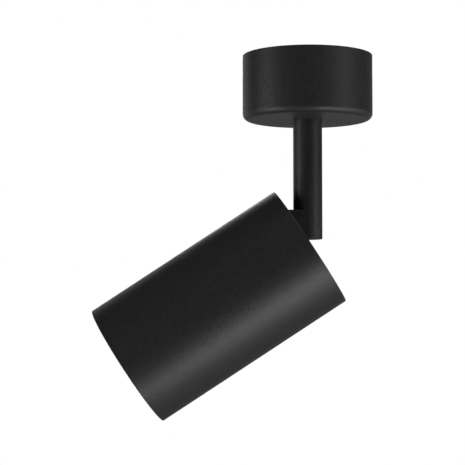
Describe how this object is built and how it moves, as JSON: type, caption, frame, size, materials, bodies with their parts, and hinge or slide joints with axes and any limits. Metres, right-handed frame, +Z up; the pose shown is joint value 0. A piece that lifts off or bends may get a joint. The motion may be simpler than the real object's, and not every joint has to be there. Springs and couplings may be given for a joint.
{
  "type": "surface mounted ceiling spotlight",
  "caption": "Ceiling spotlight: a round canopy, a stem that pans, and a tubular barrel that tilts on a pivot inside its open back and holds a twist-lock lamp.",
  "frame": {"origin": "centre of the canopy's top on the ceiling plane, on the pan axis", "axes": "+Z up into the ceiling; the barrel's front points to -X and down; +Y away from the side that the picture shows"},
  "size_m": [0.1291, 0.06, 0.168],
  "materials": {
    "black_paint": "fine-grain matt powder coat",
    "black_plastic": "satin moulded",
    "zinc_steel": "bright zinc plate",
    "brass": "plain",
    "white_plastic": "plain",
    "ceramic": "unglazed",
    "brown_wire": "silicone",
    "blue_wire": "silicone",
    "earth_wire": "silicone, green and yellow",
    "sleeve": "braided glass sleeve",
    "lamp_white": "satin",
    "led_board": "white solder mask",
    "phosphor": "plain",
    "lens": "clear with small facets",
    "spring_steel": "plain",
    "nylon": "natural"
  },
  "bodies": {
    "canopy": {"canopy_shell": "black_paint", "ceiling_plate": "zinc_steel", "canopy_grub_screws": "black_paint", "terminal_body": "white_plastic", "terminal_inserts": "brass", "terminal_clamp_screws": "zinc_steel", "terminal_fixing_screws": "zinc_steel", "earth_screw": "brass", "earth_washer": "spring_steel", "earth_ring_terminal": "brass", "live_wire": "brown_wire", "neutral_wire": "blue_wire", "earth_wire": "earth_wire", "earth_bond_wire": "earth_wire", "stem_bushing": "nylon"},
    "stem": {"stem_arm": "black_paint", "stem_nipple": "zinc_steel", "pan_wave_washer": "spring_steel", "pan_stop_washer": "zinc_steel", "pan_nut": "brass", "stem_lead": "sleeve", "pivot_screws": "zinc_steel", "friction_washers": "spring_steel"},
    "barrel": {"barrel_tube": "black_paint", "carrier_plate": "zinc_steel", "carrier_screws": "zinc_steel", "holder_bracket": "zinc_steel", "bracket_screws": "zinc_steel", "bracket_earth_terminal": "brass", "lampholder_body": "ceramic", "lampholder_contacts": "brass", "lampholder_screws": "zinc_steel", "flex_lead": "sleeve", "live_lead": "brown_wire", "neutral_lead": "blue_wire", "earth_lead": "earth_wire"},
    "lamp": {"lamp_body": "lamp_white", "lamp_pins": "zinc_steel", "led_board": "led_board", "led_chips": "phosphor", "lamp_lens": "lens"},
    "ring": {"baffle_ring": "black_plastic", "ring_springs": "spring_steel"}
  },
  "joints": [
    {"name": "pan", "type": "hinge", "parent": "canopy", "child": "stem", "pos_m": [0, 0, -0.03], "axis": [0, 0, 1], "range_deg": [-165, 165]},
    {"name": "tilt", "type": "hinge", "parent": "stem", "child": "barrel", "pos_m": [-0.0193, 0, -0.07845], "axis": [0, 1, 0], "range_deg": [-56.8, 33.2], "deforming": ["flex_lead"]},
    {"name": "lamp_twist", "type": "hinge", "parent": "barrel", "child": "lamp", "pos_m": [-0.04931, 0, -0.12116], "axis": [-0.8368, 0, -0.5476], "range_deg": [-15, 0]},
    {"name": "ring_pull", "type": "slide", "parent": "barrel", "child": "ring", "axis": [-0.8368, 0, -0.5476], "range_m": [0, 0.012]}
  ]
}
